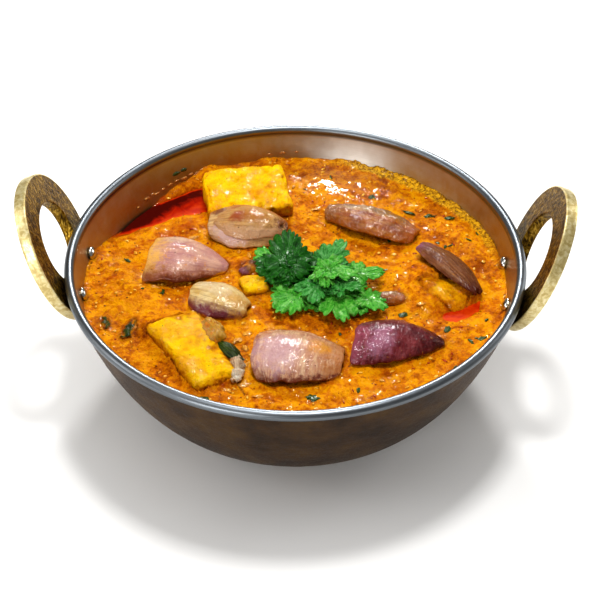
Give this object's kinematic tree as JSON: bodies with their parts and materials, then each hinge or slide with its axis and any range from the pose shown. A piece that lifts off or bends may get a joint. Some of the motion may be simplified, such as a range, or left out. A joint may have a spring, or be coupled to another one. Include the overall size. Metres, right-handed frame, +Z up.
{
  "type": "paneer do pyaza in a kadai",
  "caption": "Round metal serving kadai with ring handles on its sides, filled with paneer and onion curry under a coriander sprig; it stands on its flat foot.",
  "frame": {"origin": "centre of the kadai's flat foot, on the surface it stands on", "axes": "+Z up, +X towards the right ring handle, +Y away from the eater"},
  "size_m": [0.1806, 0.1524, 0.0788],
  "materials": {
    "liner_steel": "polished inside with fine turning marks, rolled rim",
    "jacket_bronze": "dark antiqued bronze with small hammer marks",
    "handle_brass": "bright edge, darker hammered face",
    "rivet_steel": "domed heads, satin",
    "curry": "thick wet gravy with oil flecks and crumbs",
    "oil": "clear red spiced oil",
    "paneer": "moist, grainy, stained yellow by the sauce",
    "onion_pink": "translucent cooked onion with fine veins",
    "onion_pale": "translucent pale onion with browned streaks",
    "onion_purple": "glossy dark purple onion skin side",
    "onion_browned": "seared brown onion",
    "coriander_leaf": "fresh veined leaf",
    "cooked_herb": "wilted dark green leaf"
  },
  "bodies": {
    "root": {"steel_liner": "liner_steel", "bronze_jacket": "jacket_bronze", "handle_right": "handle_brass", "handle_left": "handle_brass", "rivet_right_back": "rivet_steel", "rivet_right_front": "rivet_steel", "rivet_left_back": "rivet_steel", "rivet_left_front": "rivet_steel", "paneer_1": "paneer", "paneer_2": "paneer", "paneer_3": "paneer", "paneer_4": "paneer", "onion_1": "onion_pink", "onion_2": "onion_pale", "onion_2_inner": "onion_pale", "onion_3": "onion_pale", "onion_4": "onion_pink", "onion_5": "onion_purple", "onion_6": "onion_browned", "onion_7": "onion_browned", "onion_8": "onion_pink", "onion_9": "onion_browned", "onion_10": "onion_pale", "onion_11": "onion_pale", "herb_1": "cooked_herb", "herb_2": "cooked_herb", "herb_3": "cooked_herb", "coriander_1": "coriander_leaf", "coriander_2": "coriander_leaf", "coriander_3": "coriander_leaf", "coriander_4": "coriander_leaf", "coriander_5": "coriander_leaf", "coriander_6": "coriander_leaf", "coriander_7": "coriander_leaf", "coriander_8": "coriander_leaf", "coriander_9": "coriander_leaf", "coriander_10": "coriander_leaf", "coriander_11": "coriander_leaf", "oil_back": "oil", "oil_right": "oil", "curry": "curry"}
  },
  "joints": []
}
